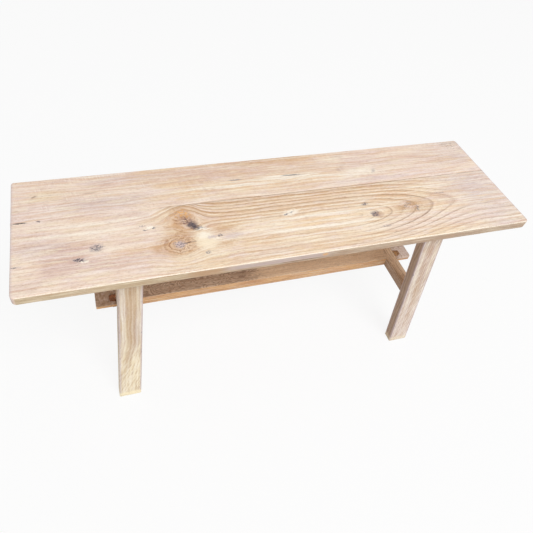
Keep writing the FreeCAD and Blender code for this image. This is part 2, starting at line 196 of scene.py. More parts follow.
class Surface:
    """One material's nodes, with x, y and z in millimetres from the piece's own coordinates.

    base is the colour so far, and each layer goes over it.
    """

    def __init__(self, name):
        self.material = bpy.data.materials.new(name)
        self.material.use_nodes = True
        self.tree = self.material.node_tree
        self.tree.nodes.clear()
        place = self.node("ShaderNodeTexCoord", output="Object")
        in_mm = self.node("ShaderNodeVectorMath", {"operation": "SCALE"},
                          {"Vector": place, "Scale": 1 / MM})
        self.x = self.node("ShaderNodeSeparateXYZ", {}, {"Vector": in_mm})
        self.y = self.x.twin("Y")
        self.z = self.x.twin("Z")
        self.base = None

    def node(self, kind, settings=(), sockets=(), output=0):
        """Adds a node: its type, its settings, and the values or links of its sockets."""
        made = self.tree.nodes.new(kind)
        for name, value in dict(settings).items():
            setattr(made, name, value)
        for name, value in dict(sockets).items():
            if isinstance(value, Value):
                self.tree.links.new(value.socket, made.inputs[name])
            else:
                made.inputs[name].default_value = value
        return Value(self, made.outputs[output])

    def maths(self, operation, *terms):
        return self.node("ShaderNodeMath", {"operation": operation}, dict(enumerate(terms)))

    def fade(self, value, start, stop):
        """Runs smoothly from 0 at start to 1 at stop."""
        return self.node("ShaderNodeMapRange", {"interpolation_type": "SMOOTHSTEP"},
                         {"Value": value, "From Min": start, "From Max": stop})

    def noise(self, x, y, z, detail=2.0, rough=0.5):
        """Soft cloudy noise, about 0.5 on average, with one cell for each step of 1."""
        place = self.node("ShaderNodeCombineXYZ", {}, {"X": x, "Y": y, "Z": z})
        return self.node("ShaderNodeTexNoise", {},
                         {"Vector": place, "Scale": 1.0, "Detail": detail, "Roughness": rough})

    def mix(self, amount, under, over):
        """Lays one colour over another."""
        under = under if isinstance(under, Value) else (*under, 1.0)
        over = over if isinstance(over, Value) else (*over, 1.0)
        return self.node("ShaderNodeMix", {"data_type": "RGBA"}, {0: amount, 6: under, 7: over},
                         output=2)

    def lay(self, amount, paint):
        """Lays a colour over the base."""
        self.base = self.mix(amount, self.base, paint)

    def grained(self, under, light, dark, value, strength, spread=0.13):
        """Lays light streaks where a value is low, and dark ones where it is high."""
        under = self.mix(self.fade(value, 0.5, 0.5 + spread) * strength, under, dark)
        return self.mix(self.fade(value, 0.5, 0.5 - spread) * strength, under, light)

    def grain(self, *streaks):
        """Lays such streaks over the base."""
        self.base = self.grained(self.base, *streaks)

    def flat(self, x, y):
        """Two numbers and 1 as one vector, for the spots that lie on it."""
        return self.node("ShaderNodeCombineXYZ", {}, {"X": x, "Y": y, "Z": 1.0})

    def vector(self, operation, terms, output=0):
        return self.node("ShaderNodeVectorMath", {"operation": operation},
                         dict(enumerate(terms)), output)

    def spot(self, place, at, size, turn=0.0, soft=0.4):
        """1 inside an ellipse and 0 outside it, with a soft rim. turn is in degrees."""
        wide, high = size
        if turn:
            cos = math.cos(math.radians(turn))
            sin = math.sin(math.radians(turn))
            along = (cos / wide, sin / wide, -(at[0] * cos + at[1] * sin) / wide)
            across = (-sin / high, cos / high, (at[0] * sin - at[1] * cos) / high)
            own = self.node("ShaderNodeCombineXYZ", {}, {
                "X": self.vector("DOT_PRODUCT", (place, along), 1),
                "Y": self.vector("DOT_PRODUCT", (place, across), 1)})
        else:
            own = self.vector("MULTIPLY_ADD", (place, (1 / wide, 1 / high, 0.0),
                                               (-at[0] / wide, -at[1] / high, 0.0)))
        out = self.vector("LENGTH", (own,), 1)
        return self.fade(out, 1 + soft, 1 - soft)

    def spots(self, place, spots):
        """Many spots as one layer. Each is x, y, width, height, turn, softness and strength."""
        layer = None
        for at_x, at_y, wide, high, turn, soft, strength in spots:
            one = self.spot(place, (at_x, at_y), (wide, high), turn, soft) * strength
            layer = one if layer is None else self.maths("MAXIMUM", layer, one)
        return layer

    def marks(self, place, painted):
        """Lays spots over the base, all those of one colour together."""
        for paint, spots in painted:
            self.lay(self.spots(place, spots), paint)

    def finish(self, rough, height, relief):
        """Ends the material: a dull wooden surface whose relief is height times relief in mm."""
        bump = self.node("ShaderNodeBump", {}, {"Strength": 1.0, "Distance": relief * MM,
                                                "Height": height})
        wood = self.node("ShaderNodeBsdfPrincipled", {},
                         {"Base Color": self.base, "Roughness": rough, "Normal": bump,
                          "Specular IOR Level": 0.3})
        self.node_output(wood)
        return self.material

    def node_output(self, shader):
        made = self.tree.nodes.new("ShaderNodeOutputMaterial")
        self.tree.links.new(shader.socket, made.inputs["Surface"])


# Wood

MAIN_KNOT = (-236, -30)
SECOND_KNOT = (-270, -92)


def year_rings(wood, distance, spacing, along):
    """Year rings by the distance to the tree's heart: uneven, and broken along the grain.

    Gives the late wood's broad lines, its sharp outer edge, and the pale lines of the early wood.
    """
    count = distance / spacing + wood.noise(distance / (3.1 * spacing), 0.0, 0.0, 1.0) * 1.1
    part = wood.maths("FRACT", count)
    own = wood.node("ShaderNodeTexWhiteNoise", {"noise_dimensions": "1D"},
                    {"W": wood.maths("FLOOR", count)})
    broken = wood.noise(along / 40, distance / 2.4, 0.0, 3.0, 0.65)
    share = (own * 0.55 + 0.45) * (wood.fade(broken, 0.34, 0.56) * 0.6 + 0.4)
    drop = wood.fade(part, 1.0, 0.93)
    late = wood.fade(part, 0.45, 0.82) * drop * share
    sharp = wood.fade(part, 0.74, 0.9) * drop * share
    early = wood.fade(part, 0.0, 0.14) * wood.fade(part, 0.52, 0.26) * (1.2 - share)
    return late, sharp, early


def fibres(wood, along, across, depth):
    """Fine streaks along the grain, long and short ones, 0.5 on average."""
    long = wood.noise(along / 80, across / 2.3, depth / 2.3, 3.0, 0.65)
    short = wood.noise(along / 13, across / 1.2, depth / 1.2, 2.0, 0.6)
    return long * 0.55 + short * 0.45


def pores(wood, along, across, depth):
    """Short dark pores along the grain."""
    return wood.fade(wood.noise(along / 8, across / 1.0, depth / 1.0, 1.0), 0.62, 0.72)


def round_knot(wood, along, across, at, above, below):
    """Bends grain lines round a knot, as water flows round a stone.

    It reaches a different way above and below, and less far to the right than to the left.
    """
    dx = along - at[0]
    dy = across - at[1]
    near = dx * dx + dy * dy
    near = near * near
    over = (1 - wood.fade(dx, -10, 40) * 0.75) * above ** 4 - below ** 4
    reach = wood.fade(dy, -15, 15) * over + below ** 4
    return dy * (near / (near + reach)) + at[1]


def hued(wood, colours, along, across, seed, strength=0.45):
    """Drifts of hue along the grain, to a yellowish and to a lilac white."""
    hue = wood.noise(along / 58, across / 11, seed, 3.0, 0.6)
    wood.lay(wood.fade(hue, 0.52, 0.64) * strength, colours.yellowish)
    wood.lay(wood.fade(hue, 0.48, 0.36) * strength, colours.rosy)


def front_board_wood(colours):
    """The wide board. Its lines bend round two knots, and close in loops at the right."""
    wood = Surface("front_board_wood")
    x, y, z = wood.x, wood.y, wood.z
    drift = wood.noise(x / 210, y / 90, z / 90) - 0.5
    ripple = wood.noise(x / 40, y / 13, z / 28, 3.0, 0.6) - 0.5
    bent = round_knot(wood, x, y + drift * 9, MAIN_KNOT, 68, 36)
    bent = round_knot(wood, x, bent, SECOND_KNOT, 24, 40) + ripple * 3.8

    # The heart of the tree lies above the top, and climbs away from it to the right.
    climb = wood.fade(x, 100, 520) * 78
    heart = climb + 5 + (SEAT - z) + drift * 8
    sideways = bent + 77 - climb * 0.22
    distance = (sideways * sideways + heart * heart) ** 0.5
    rings = year_rings(wood, distance, 10.6, x)
    thin = year_rings(wood, distance + 40, 4.1, x + 300)[0]
    fibre = fibres(wood, x, bent, z)
    pore = pores(wood, x, bent, z)
    streak = wood.noise(x / 130, bent / 5, z / 9, 3.0)
    mottle = wood.noise(x / 3.6, y / 2.8, z / 3, 2.0, 0.7)

    grain, flank, band, by_seam = front_board_tones(wood, colours, bent)
    front_board_lines(wood, colours, grain, streak, (flank, band), (*rings, thin))
    wood.grain(colours.bleached, colours.ring, fibre, 0.27, 0.12)
    wood.lay(pore * 0.25, colours.ring_dark)
    wood.grain(colours.bleached, colours.ring, mottle, 0.12, 0.2)

    front_board_knots(wood, colours)
    joint = wood.fade(y, SEAM - 2.8, SEAM - 0.8)
    dashes = wood.noise(x / 34, 0.0, 2.0, 2.0)
    wood.lay(joint * by_seam * wood.fade(dashes, 0.3, 0.5) * 0.6, colours.rail_dark)
    worn_edges_and_highlight(wood, colours, -HALF_WIDTH, fibre, mottle)
    place = wood.flat(x, y)
    hollow = (wood.spot(place, (-232, -36), (18, 8), -48, 0.5)
              + wood.spot(place, SECOND_KNOT, (10, 8)))
    height = fibre * 0.9 - rings[0] * 0.5 - pore * 0.6 + mottle * 0.3 - hollow * 0.8
    return wood.finish(fibre * 0.12 + 0.56, height, 0.4)


def front_board_tones(wood, colours, bent):
    """Broad tones. Gives the brown flank, the pale band below it and the strip by the joint.

    Before those it gives the place of the grain: its wandering x, and that x with the bent y.
    """
    x = wood.x
    y = wood.y
    tone = wood.noise(x / 130, y / 36, 3.7, 3.0)
    wander = wood.noise(x / 60, y / 30, 1.3, 2.0) - 0.5
    ex = x + wander * 80
    drifted = wood.flat(ex, y + wander * 30)
    grain = wood.flat(ex, bent)
    wood.base = wood.mix(wood.fade(ex, -250, -360), colours.warm, colours.pink)
    wood.lay(wood.fade(ex + y * 0.2, 390, 530), colours.weathered)
    wood.grain(colours.pale, colours.mauve, tone, 0.45, 0.18)
    wood.marks(drifted, (
        (colours.mauve, ((-512, -84, 56, 40, 0, 0.5, 0.85), (-430, -118, 120, 22, 0, 0.6, 0.6))),
        (colours.lilac, ((-560, -50, 60, 20, 0, 0.6, 0.4), (560, -40, 50, 60, 0, 0.6, 0.4))),
        (colours.tan, ((-360, -90, 46, 12, 0, 0.6, 0.4), (-228, -18, 60, 40, 0, 0.6, 0.4),
                       (-110, -118, 80, 14, 8, 0.5, 0.25))),
        (colours.knot_brown, ((336, -70, 46, 24, 0, 0.6, 0.72), (-300, -96, 30, 24, 0, 0.8, 0.35))),
        (colours.pale, ((150, -132, 220, 20, 0, 0.6, 0.5),)),
        (colours.rosy, ((400, -122, 150, 26, 0, 0.6, 0.55),))))
    upper = wood.fade(bent, -54, -36)
    flank = wood.fade(ex, -320, -240) * wood.fade(ex, 470, 300) * upper
    wood.lay(flank * 0.5, colours.tan)
    by_seam = wood.fade(y + wander * 10, SEAM - 26, SEAM - 6) * wood.fade(x, -300, -250)
    wood.lay(by_seam * wood.fade(ex, 470, 250) * 0.55, colours.brown)
    band = wood.spot(grain, (25, -77), (185, 26), soft=0.4)
    wood.lay(band * 0.5, colours.pale)
    hued(wood, colours, x, bent, 4.0)
    return (ex, grain), flank, band, by_seam


def front_board_lines(wood, colours, place, streak, tones, rings):
    """Grain: broad lines over the flank, and thin dark ones in the loops at the right."""
    x = wood.x
    y = wood.y
    ex, grain = place
    flank, band = tones
    late, sharp, early, thin = rings
    left = wood.fade(ex, -240, -330)
    wood.grain(colours.bleached, colours.tan, 1 - streak, 0.42 - left * 0.16, 0.13)
    loops = wood.spot(wood.flat(x, y), (318, -62), (142, 76), soft=0.35)
    low = wood.fade(y, -84, -104) * wood.fade(x, -180, -60)
    seen = flank * (0.5 - loops * 0.34) + loops * 0.06 + low * 0.16 - left * 0.06 + 0.15
    open_wood = 1 - band * 0.8
    wood.lay(thin * (seen * 0.55) * open_wood, colours.ring)
    wood.lay(late * seen * open_wood, colours.ring)
    fine = loops * 0.48 + flank * 0.26 + low * wood.fade(x, 120, 260) * 0.4
    wood.lay(sharp * fine, colours.ring_dark)
    wood.lay(early * (flank * 0.45 + left * 0.05 + 0.2), colours.bleached)
    wood.marks(grain, (
        (colours.bleached, ((100, -56, 180, 2.6, 0, 0.5, 0.85), (60, -95, 160, 4.5, 0, 0.5, 0.85),
                            (415, -2, 75, 2.6, 0, 0.5, 0.8), (-460, 3, 150, 3.5, 0, 0.6, 0.6),
                            (-490, -22, 110, 5, 0, 0.6, 0.65))),
        (colours.honey, ((110, -70, 90, 3.5, 0, 0.6, 0.5), (40, -84, 70, 3, 0, 0.6, 0.45)))))


def front_board_knots(wood, colours):
    """The two knots, the scar beside them and the small marks."""
    x = wood.x
    y = wood.y
    rag = wood.noise(x / 9, y / 7, 0.0, 3.0, 0.7) - 0.5
    drag = wood.noise(x / 9, y / 7, 30.0, 3.0, 0.7) - 0.5
    shred = wood.noise(x / 4.2, y / 3.6, 4.0, 2.0, 0.6)
    flake = wood.noise(x / 6.5, y / 4.5, 11.0, 3.0, 0.7)
    torn = wood.flat(x + rag * 28, y + drag * 24)

    dx = x - MAIN_KNOT[0] + rag * 12
    dy = y - MAIN_KNOT[1] + drag * 12
    out = (dx * dx + dy * dy) ** 0.5
    rays = wood.noise(dx / out * 2.8, dy / out * 2.8, out / 26, 4.0, 0.7)
    brown_round_knots(wood, colours, (rag, drag, flake, rays), torn)
    wood.marks(torn, (
        (colours.cream, ((-212, -88, 21, 28, 14, 0.6, 0.75),)),
        (colours.bleached, ((-208, -74, 16, 9, 0, 0.6, 0.7), (-206, -53, 16, 4, -8, 0.4, 0.75))),
        (colours.slate, ((-214, -49, 13, 2.4, -10, 0.4, 0.6),)),
        (colours.lilac, ((-194, -83, 11, 5, 5, 0.5, 0.6), (-146, -86, 22, 8, 3, 0.8, 0.4))),
        (colours.knot_brown, ((-160, -61, 26, 8, 4, 0.7, 0.6), (-166, -106, 20, 5, 6, 0.8, 0.6),
                              (-322, -98, 10, 12, 0, 0.6, 0.4))),
        (colours.rust, ((-297, -82, 2.4, 12, 10, 0.8, 0.4),))))
    dark_hearts(wood, colours, (rag, drag, shred, flake, rays), torn)
    small_marks(wood, colours, rag, drag, shred, torn)


def brown_round_knots(wood, colours, noises, torn):
    """Brown wood: it rays out from the main heart, and is ringed round the second one."""
    rag, drag, flake, rays = noises
    halo = wood.spot(torn, (-252, -20), (30, 44), turn=-24, soft=0.7)
    wood.lay(halo * (wood.fade(rays, 0.36, 0.58) * 0.5 + 0.2), colours.knot_brown)
    wood.lay(halo * wood.fade(rays, 0.54, 0.64) * 0.5, colours.rust)
    wood.lay(halo * wood.fade(flake, 0.42, 0.32) * 0.5, colours.honey)

    sx = (wood.x - SECOND_KNOT[0] + rag * 16) * 0.72
    sy = wood.y - SECOND_KNOT[1] + drag * 14
    around = (sx * sx + sy * sy) ** 0.5
    rings = year_rings(wood, around + rag * 16, 7.6, sx * 1.5)[0]
    ringed = wood.fade(around + rag * 20, 44, 18)
    wood.lay(ringed * flake, colours.knot_brown)
    rings = rings * wood.fade(flake, 0.3, 0.48)
    wood.lay(rings * ringed * 0.8, colours.rust)
    wood.lay(ringed * wood.fade(flake, 0.44, 0.34) * 0.5, colours.honey)


def dark_hearts(wood, colours, noises, torn):
    """Flakes of resin over the main knot, its dark heart, and the split one of the second."""
    rag, drag, shred, flake, rays = noises
    flakes = wood.spot(torn, (-248, 0), (22, 14), turn=-20, soft=0.5)
    wood.lay(flakes * wood.fade(rays, 0.52, 0.42) * 0.55, colours.rust)
    wood.lay(flakes * wood.fade(flake, 0.5, 0.58) * 0.9, colours.resin)
    bruise = wood.spot(torn, (-239, -24), (22, 13), turn=-45, soft=0.6)
    bruised = bruise * (wood.fade(flake, 0.4, 0.6) * 0.6 + 0.15)
    wood.lay(bruised, colours.plum)
    core = wood.spot(torn, (-228, -40), (14, 10), turn=-50, soft=0.6)
    core = wood.maths("MAXIMUM", core * (wood.fade(shred, 0.3, 0.46) * 0.6 + 0.4),
                      bruise * wood.fade(rays, 0.56, 0.64) * 0.6)
    wood.lay(core * 0.92, colours.knot)

    eye = wood.spot(torn, SECOND_KNOT, (12, 10), soft=0.5)
    wood.lay(eye * 0.7, colours.lilac)
    torn_less = wood.flat(wood.x + rag * 10, wood.y + drag * 6)
    split = wood.spot(torn_less, (-250, -90), (15, 1.3), 4, soft=0.5)
    dark_eye = wood.maths("MAXIMUM", eye * wood.fade(shred, 0.52, 0.6) * 0.8, split * 0.8)
    wood.lay(dark_eye, colours.knot)


def small_marks(wood, colours, rag, drag, shred, torn):
    """Small marks with dark middles, some with a bleached patch round them."""
    wood.marks(torn, (
        (colours.bleached, ((-326, -29, 9, 5, 0, 0.4, 0.9), (-477, -104, 9, 5, 0, 0.4, 0.8),
                            (16, -38, 20, 9, 10, 0.5, 0.75), (-184, -88, 10, 3, 5, 0.4, 0.6))),
        (colours.rust, ((232, -82, 14, 11, 0, 0.5, 0.5),))))
    speckled = wood.spot(torn, (338, -72), (34, 20), 0, 0.6) * wood.fade(shred, 0.54, 0.64)
    wood.lay(speckled * 0.6, colours.ring_dark)
    scratched = wood.flat(wood.x + rag * 26, wood.y + drag * 10)
    small = wood.spots(scratched, (
        (-449, -70, 15, 10, 10, 0.4, 0.75), (-487, -98, 14, 4.5, -6, 0.4, 0.9),
        (-318, -32, 3.5, 3, 0, 0.4, 1.0), (-337, -35, 8, 2, 4, 0.4, 0.8),
        (-343, -22, 5, 1.8, 0, 0.4, 0.8), (-175, -80, 6, 3.5, 10, 0.4, 1.0),
        (-213, -127, 6, 5, 0, 0.4, 0.65), (4, -41, 7, 2, 24, 0.4, 0.9),
        (18, -36, 7, 1.8, 30, 0.4, 0.8), (216, -40, 10, 5, 4, 0.4, 0.85),
        (225, -79, 12, 9, 0, 0.4, 0.78), (236, -123, 17, 3, 3, 0.4, 0.5),
        (442, -34, 15, 2, -6, 0.4, 0.6), (-612, -95, 12, 1.6, -8, 0.4, 0.7),
        (350, -76, 11, 4, 66, 0.4, 0.7), (322, -64, 9, 3, 30, 0.4, 0.6),
        (334, -58, 8, 2.4, -20, 0.4, 0.6), (-566, 31, 5, 1.8, 0, 0.4, 1.2),
        (-606, 31, 14, 1.3, 0, 0.4, 1.1)))
    small = small * (wood.fade(shred, 0.42, 0.56) * 0.65 + 0.35)
    wood.lay(small, colours.slate)
    wood.lay(wood.fade(small, 0.55, 0.9) * 0.85, colours.knot)


def worn_edges_and_highlight(wood, colours, outer_y, fibre, mottle):
    """Bare pale arrises that also carry a painted highlight, streaked brown edges and the tan
    underside of a board.
    """
    x, y, z = wood.x, wood.y, wood.z
    inward = (y - outer_y) if outer_y < 0 else (outer_y - y)
    to_end = HALF_LENGTH - wood.maths("ABSOLUTE", x)
    nearest = wood.maths("MINIMUM", inward, to_end)
    below = SEAT - z
    wood.lay(wood.fade(to_end + mottle * 6, 11, 4) * 0.5, colours.lilac)
    # The bleached line along the upper outer arris is bare worn wood together with a painted
    # highlight, where the rounded arris catches the light
    rim = wood.fade(inward + below + mottle * 3, 5.2, 3.4)
    wood.lay(rim * 0.85, colours.bleached)

    side = wood.fade(nearest, 1.2, 0.5) * wood.fade(below, 1.2, 2.6)
    wood.lay(side, edge_faces(wood, colours, fibre, mottle))
    under = wood.fade(below, 21.5, 22.8)
    worn = wood.grained(colours.rail, colours.tan, colours.rail_ring, fibre, 0.5)
    wood.lay(under * 0.8, worn)
    ends = wood.fade(to_end, 1.2, 0.5) * wood.fade(below, 1.0, 2.4)
    growth = wood.noise(y / 5, z / 1.6, x / 30, 3.0, 0.6)
    wood.lay(ends * wood.fade(growth, 0.4, 0.65) * 0.45, colours.rail_ring)


def edge_faces(wood, colours, fibre, mottle):
    """Brown streaks along the edges. The front one has a grey stretch, a painted shadow line over
    its crack near the bottom, and some resin.
    """
    x, y, z = wood.x, wood.y, wood.z
    streak = wood.noise(x / 70, y / 24, z / 2.6, 3.0, 0.6)
    edge = wood.mix(wood.fade(x, -420, 60), colours.edge, colours.edge_brown)
    edge = wood.grained(edge, colours.yellowish, colours.rail_ring, streak, 0.45, 0.16)
    edge = wood.grained(edge, colours.bleached, colours.rail_dark, fibre, 0.2)
    front = wood.fade(y, -100, -150)
    face = wood.flat(x, z + mottle)
    patch = wood.spot(face, (-228, 468), (40, 12), 0, 0.6)
    edge = wood.mix(front * patch * 0.5, edge, colours.rail_ring)
    grey = wood.fade(x, -205, -160) * wood.fade(x, 90, 20) * wood.fade(z, 461, 466) * front
    edge = wood.mix(grey * (wood.fade(streak, 0.36, 0.5) * 0.3 + 0.25), edge, colours.lilac)
    edge = wood.mix(front * wood.spot(face, (52, 471), (7, 4)) * 0.6, edge, colours.resin)
    # Painted shadow: a dark line along the lower part of the front edge, over the cut crack, where
    # the board's lower edge meets the shade below it
    crack_shadow = wood.spot(face, (-12, 463), (44, 1.5), soft=0.5)
    edge = wood.mix(front * crack_shadow * 0.75, edge, colours.wedge_dark)
    return edge


def back_board_wood(colours):
    """The narrow board: straight lines under lilac and mauve drifts."""
    wood = Surface("back_board_wood")
    x, y, z = wood.x, wood.y, wood.z
    drift = wood.noise(x / 320, y / 110, z / 90 + 5) - 0.5
    ripple = wood.noise(x / 42, y / 13, z / 28 + 5, 3.0, 0.6) - 0.5
    bent = y + drift * 34 + ripple * 4
    late = year_rings(wood, bent + 900 + (SEAT - z) * 0.5, 8.6, x)[0]
    thin = year_rings(wood, bent + 940, 3.6, x + 300)[0]
    fibre = fibres(wood, x, bent, z)
    pore = pores(wood, x, bent, z)
    streak = wood.noise(x / 150, bent / 6, z / 9 + 3, 3.0)
    mottle = wood.noise(x / 3.6, y / 2.8, z / 3 + 6, 2.0, 0.7)
    back_board_tones(wood, colours, bent, streak)
    wood.grain(colours.bleached, colours.tan, 1 - streak, 0.36, 0.13)
    wood.lay(late * 0.26, colours.ring)
    wood.lay(thin * 0.16, colours.ring)
    wood.grain(colours.bleached, colours.ring, fibre, 0.26, 0.12)
    wood.lay(pore * 0.25, colours.ring_dark)
    wood.grain(colours.bleached, colours.ring, mottle, 0.12, 0.2)

    # Faint marks of the plane, square to the grain, in patches
    chatter = wood.noise(x / 3.4 + y * 0.06, 0.0, 0.0, 1.0)
    patch = wood.fade(wood.noise(x / 45, y / 22, 5.5, 1.0), 0.52, 0.66)
    wood.grain(colours.bleached, colours.mauve, chatter, patch * 0.3, 0.16)

    back_board_marks(wood, colours)
    worn_edges_and_highlight(wood, colours, HALF_WIDTH, fibre, mottle)
    height = fibre * 0.9 - late * 0.5 - pore * 0.6 + mottle * 0.3 + chatter * patch * 0.4
    return wood.finish(fibre * 0.12 + 0.58, height, 0.4)


def back_board_tones(wood, colours, bent, streak):
    """Broad stains of the back board, and the bleached strip along its middle."""
    x = wood.x
    y = wood.y
    tone = wood.noise(x / 110, y / 34, 8.1, 3.0)
    wander = wood.noise(x / 60, y / 30, 2.3, 2.0) - 0.5
    ex = x + wander * 100
    drifted = wood.flat(ex, y + wander * 30)
    wood.base = wood.mix(wood.fade(ex, -420, -240), colours.pink, colours.warm)
    wood.lay(wood.fade(ex, 60, 300), colours.pink)
    wood.grain(colours.pale, colours.mauve, tone, 0.45, 0.2)
    wood.marks(drifted, (
        (colours.mauve, ((-160, 146, 220, 24, 0, 0.6, 0.6), (60, 146, 130, 10, 0, 0.6, 0.45),
                         (150, 120, 300, 20, 0, 0.8, 0.35))),
        (colours.knot_brown, ((20, 166, 120, 13, 0, 0.5, 0.6),)),
        (colours.lilac, ((-420, 66, 110, 20, 0, 0.6, 0.55), (-380, 150, 70, 16, 0, 0.6, 0.4),
                         (300, 50, 120, 8, 0, 0.6, 0.4), (586, 100, 36, 16, 0, 0.8, 0.7))),
        (colours.rosy, ((-300, 88, 60, 12, 0, 0.6, 0.5), (-590, 60, 50, 30, 0, 0.6, 0.4),
                        (430, 60, 90, 12, 0, 0.6, 0.5))),
        (colours.yellowish, ((-540, 112, 46, 16, 0, 0.6, 0.5),)),
        (colours.bleached, ((260, 84, 56, 16, 0, 0.5, 0.7),)),
        (colours.plum, ((216, 104, 9, 13, 0, 0.8, 0.28), (226, 152, 16, 9, 0, 0.8, 0.3),
                        (592, 40, 18, 5, 10, 0.6, 0.5))),
        (colours.weathered, ((560, 130, 90, 50, 0, 0.6, 0.6),)),
        (colours.slate, ((598, 166, 40, 13, -14, 0.8, 0.25),))))
    wood.lay(wood.fade(y + wander * 20, SEAM + 40, SEAM + 6) * 0.35, colours.rosy)
    hued(wood, colours, x, bent, 14.0, 0.42)
    glow = wood.spot(drifted, (20, 84), (250, 15), 0, 0.6)
    wood.lay(glow * wood.fade(streak, 0.42, 0.58) * 0.85, colours.bleached)


def back_board_marks(wood, colours):
    """Slits, small stains, and the specks of the back right corner."""
    x = wood.x
    y = wood.y
    rag = wood.noise(x / 9, y / 5, 3.0, 3.0, 0.7) - 0.5
    scratched = wood.flat(x + rag * 16, y + rag * 4)
    wood.marks(scratched, (
        (colours.bleached, ((40, 99, 60, 3, -3, 0.5, 0.7),)),
        (colours.ring_dark, ((-574, 115, 7, 2.6, 30, 0.6, 0.6), (-449, 109, 14, 1.6, 0, 0.5, 0.5))),
        (colours.slate, ((300, 80, 8, 4, 50, 0.7, 0.4), (70, 97, 26, 2.2, -4, 0.6, 0.65),
                         (-88, 101, 16, 2.2, 0, 0.6, 0.7))),
        (colours.knot, ((62, 98, 16, 1.4, -4, 0.5, 0.85), (-606, 33, 14, 1.2, 0, 0.5, 0.8),
                        (-566, 33, 5, 1.4, 0, 0.5, 0.7)))))
    specks = wood.spot(wood.flat(x, y), (592, 152), (34, 24), -30, 0.6)
    wood.lay(specks * wood.fade(rag, 0.06, 0.14) * 0.5, colours.knot)
    wood.lay(specks * wood.fade(rag, -0.06, -0.16) * 0.8, colours.bleached)


def leg_wood(name, colours, side, end, seed, sweep):
    """Grain up a leg, with a tan streak. sweep is how far it bends near the foot, in mm."""
    wood = Surface(name)
    x = wood.x - side * FOOT_X + wood.z * (side * LEAN_ALONG)
    y = wood.y - end * FOOT_Y + wood.z * (end * LEAN_ACROSS)
    z = wood.z + seed * 700
    drift = wood.noise(x / 50, y / 50, z / 140) - 0.5
    ripple = wood.noise(x / 9, y / 9, z / 40, 3.0, 0.6) - 0.5
    across = x + drift * 12 + ripple * 2.4 + wood.fade(wood.z, 250, 70) * sweep
    depth = y + drift * 8
    spacing = 7.4 if side < 0 else 5.2
    late, sharp, early = year_rings(wood, across * 0.85 + depth * 0.45 + 200, spacing, z)
    fibre = fibres(wood, z, across, depth)
    pore = pores(wood, z, across, depth)
    streak = wood.noise(z / 90, across / 6, depth / 6, 2.0)
    mottle = wood.noise(x / 2.6, y / 2.6, z / 3.4, 2.0, 0.7)

    tone = wood.noise(z / 120, across / 22, depth / 22)
    ground = colours.leg if side < 0 else colours.leg_pink
    other = colours.leg_pink if side < 0 else colours.lilac
    wood.base = wood.mix(wood.fade(tone, 0.45, 0.65), ground, other)
    wood.lay(wood.fade(wood.z + ripple * 80, 270, 130) * 0.8,
             colours.fresh if side < 0 else colours.weathered)
    wood.grain(colours.bleached, colours.leg_streak, 1 - streak, 0.36, 0.16)
    grain = wood.flat(across, wood.z)
    wood.marks(grain, (
        (colours.leg_streak, ((2, 340, 9, 210, 0, 0.6, 0.6),)),
        (colours.bleached, ((-16, 330, 4, 200, 0, 0.5, 0.5),)),
        (colours.yellowish, ((16, 380, 4, 120, 0, 0.5, 0.35),))))
    clear = 1.0 if side < 0 else 1.7
    wood.lay(late * (0.28 * clear), colours.leg_streak)
    wood.lay(sharp * (0.2 * clear), colours.rail_ring)
    wood.lay(early * (0.22 * clear), colours.bleached)
    wood.grain(colours.bleached, colours.rail_ring, fibre, 0.22, 0.14)
    wood.lay(pore * 0.22, colours.rail_ring)
    wood.grain(colours.bleached, colours.rail_ring, mottle, 0.1, 0.2)

    worn = leg_wear_and_shade(wood, colours, side, end, (x, y, z), ripple, late, mottle)
    rough = fibre * 0.12 + 0.6
    height = fibre * 0.9 - late * 0.4 - pore * 0.7 + mottle * 0.3 + worn
    return wood.finish(rough, height, 0.4)


def leg_wear_and_shade(wood, colours, side, end, place, ripple, late, mottle):
    """Pale strokes of a tool, an inner face darkened with painted shade, grey nicked arrises and a
    newly cut foot.

    The strokes lie on the lower half of a left leg, and on the whole of a right one. Gives how
    far the surface stands out.
    """
    x, y, z = place
    hatch = wood.noise((x * 0.92 - z * 0.38) / 4.6, (z * 0.92 + x * 0.38) / 30, y / 12, 2.0, 0.5)
    scraped = wood.fade(wood.z + ripple * 60, 250, 150) * 0.7 if side < 0 else 0.6
    wood.grain(colours.bleached, colours.leg_streak, hatch, scraped * 0.5, 0.16)

    # Painted shade: the inner face, towards the middle of the bench, is darkened, and its grain
    # lines more so
    inner = wood.fade(x * -side, LEG_HALF_X - 1.4, LEG_HALF_X + 0.2)
    wood.lay(inner * 0.85, colours.rail_grey)
    wood.lay(inner * (late * 0.7 + 0.1), colours.rail_dark)
    from_arris = (LEG_HALF_X + LEG_HALF_Y - wood.maths("ABSOLUTE", x)
                  - wood.maths("ABSOLUTE", y))
    rim = wood.fade(from_arris + (mottle - 0.5) * 4, 5.2, 2.4)
    wood.lay(rim * 0.5, colours.lilac)
    nicks = wood.fade(wood.noise(z / 7, x / 4, y / 4, 1.0), 0.68, 0.74)
    wood.lay(nicks * wood.fade(from_arris, 6, 3) * 0.7, colours.slate)
    bare = 0.9 if (side, end) == (-1, -1) else 0.4
    wood.lay(wood.fade(wood.z + ripple * 10, 22, 11) * bare, colours.fresh)
    return hatch * scraped - nicks


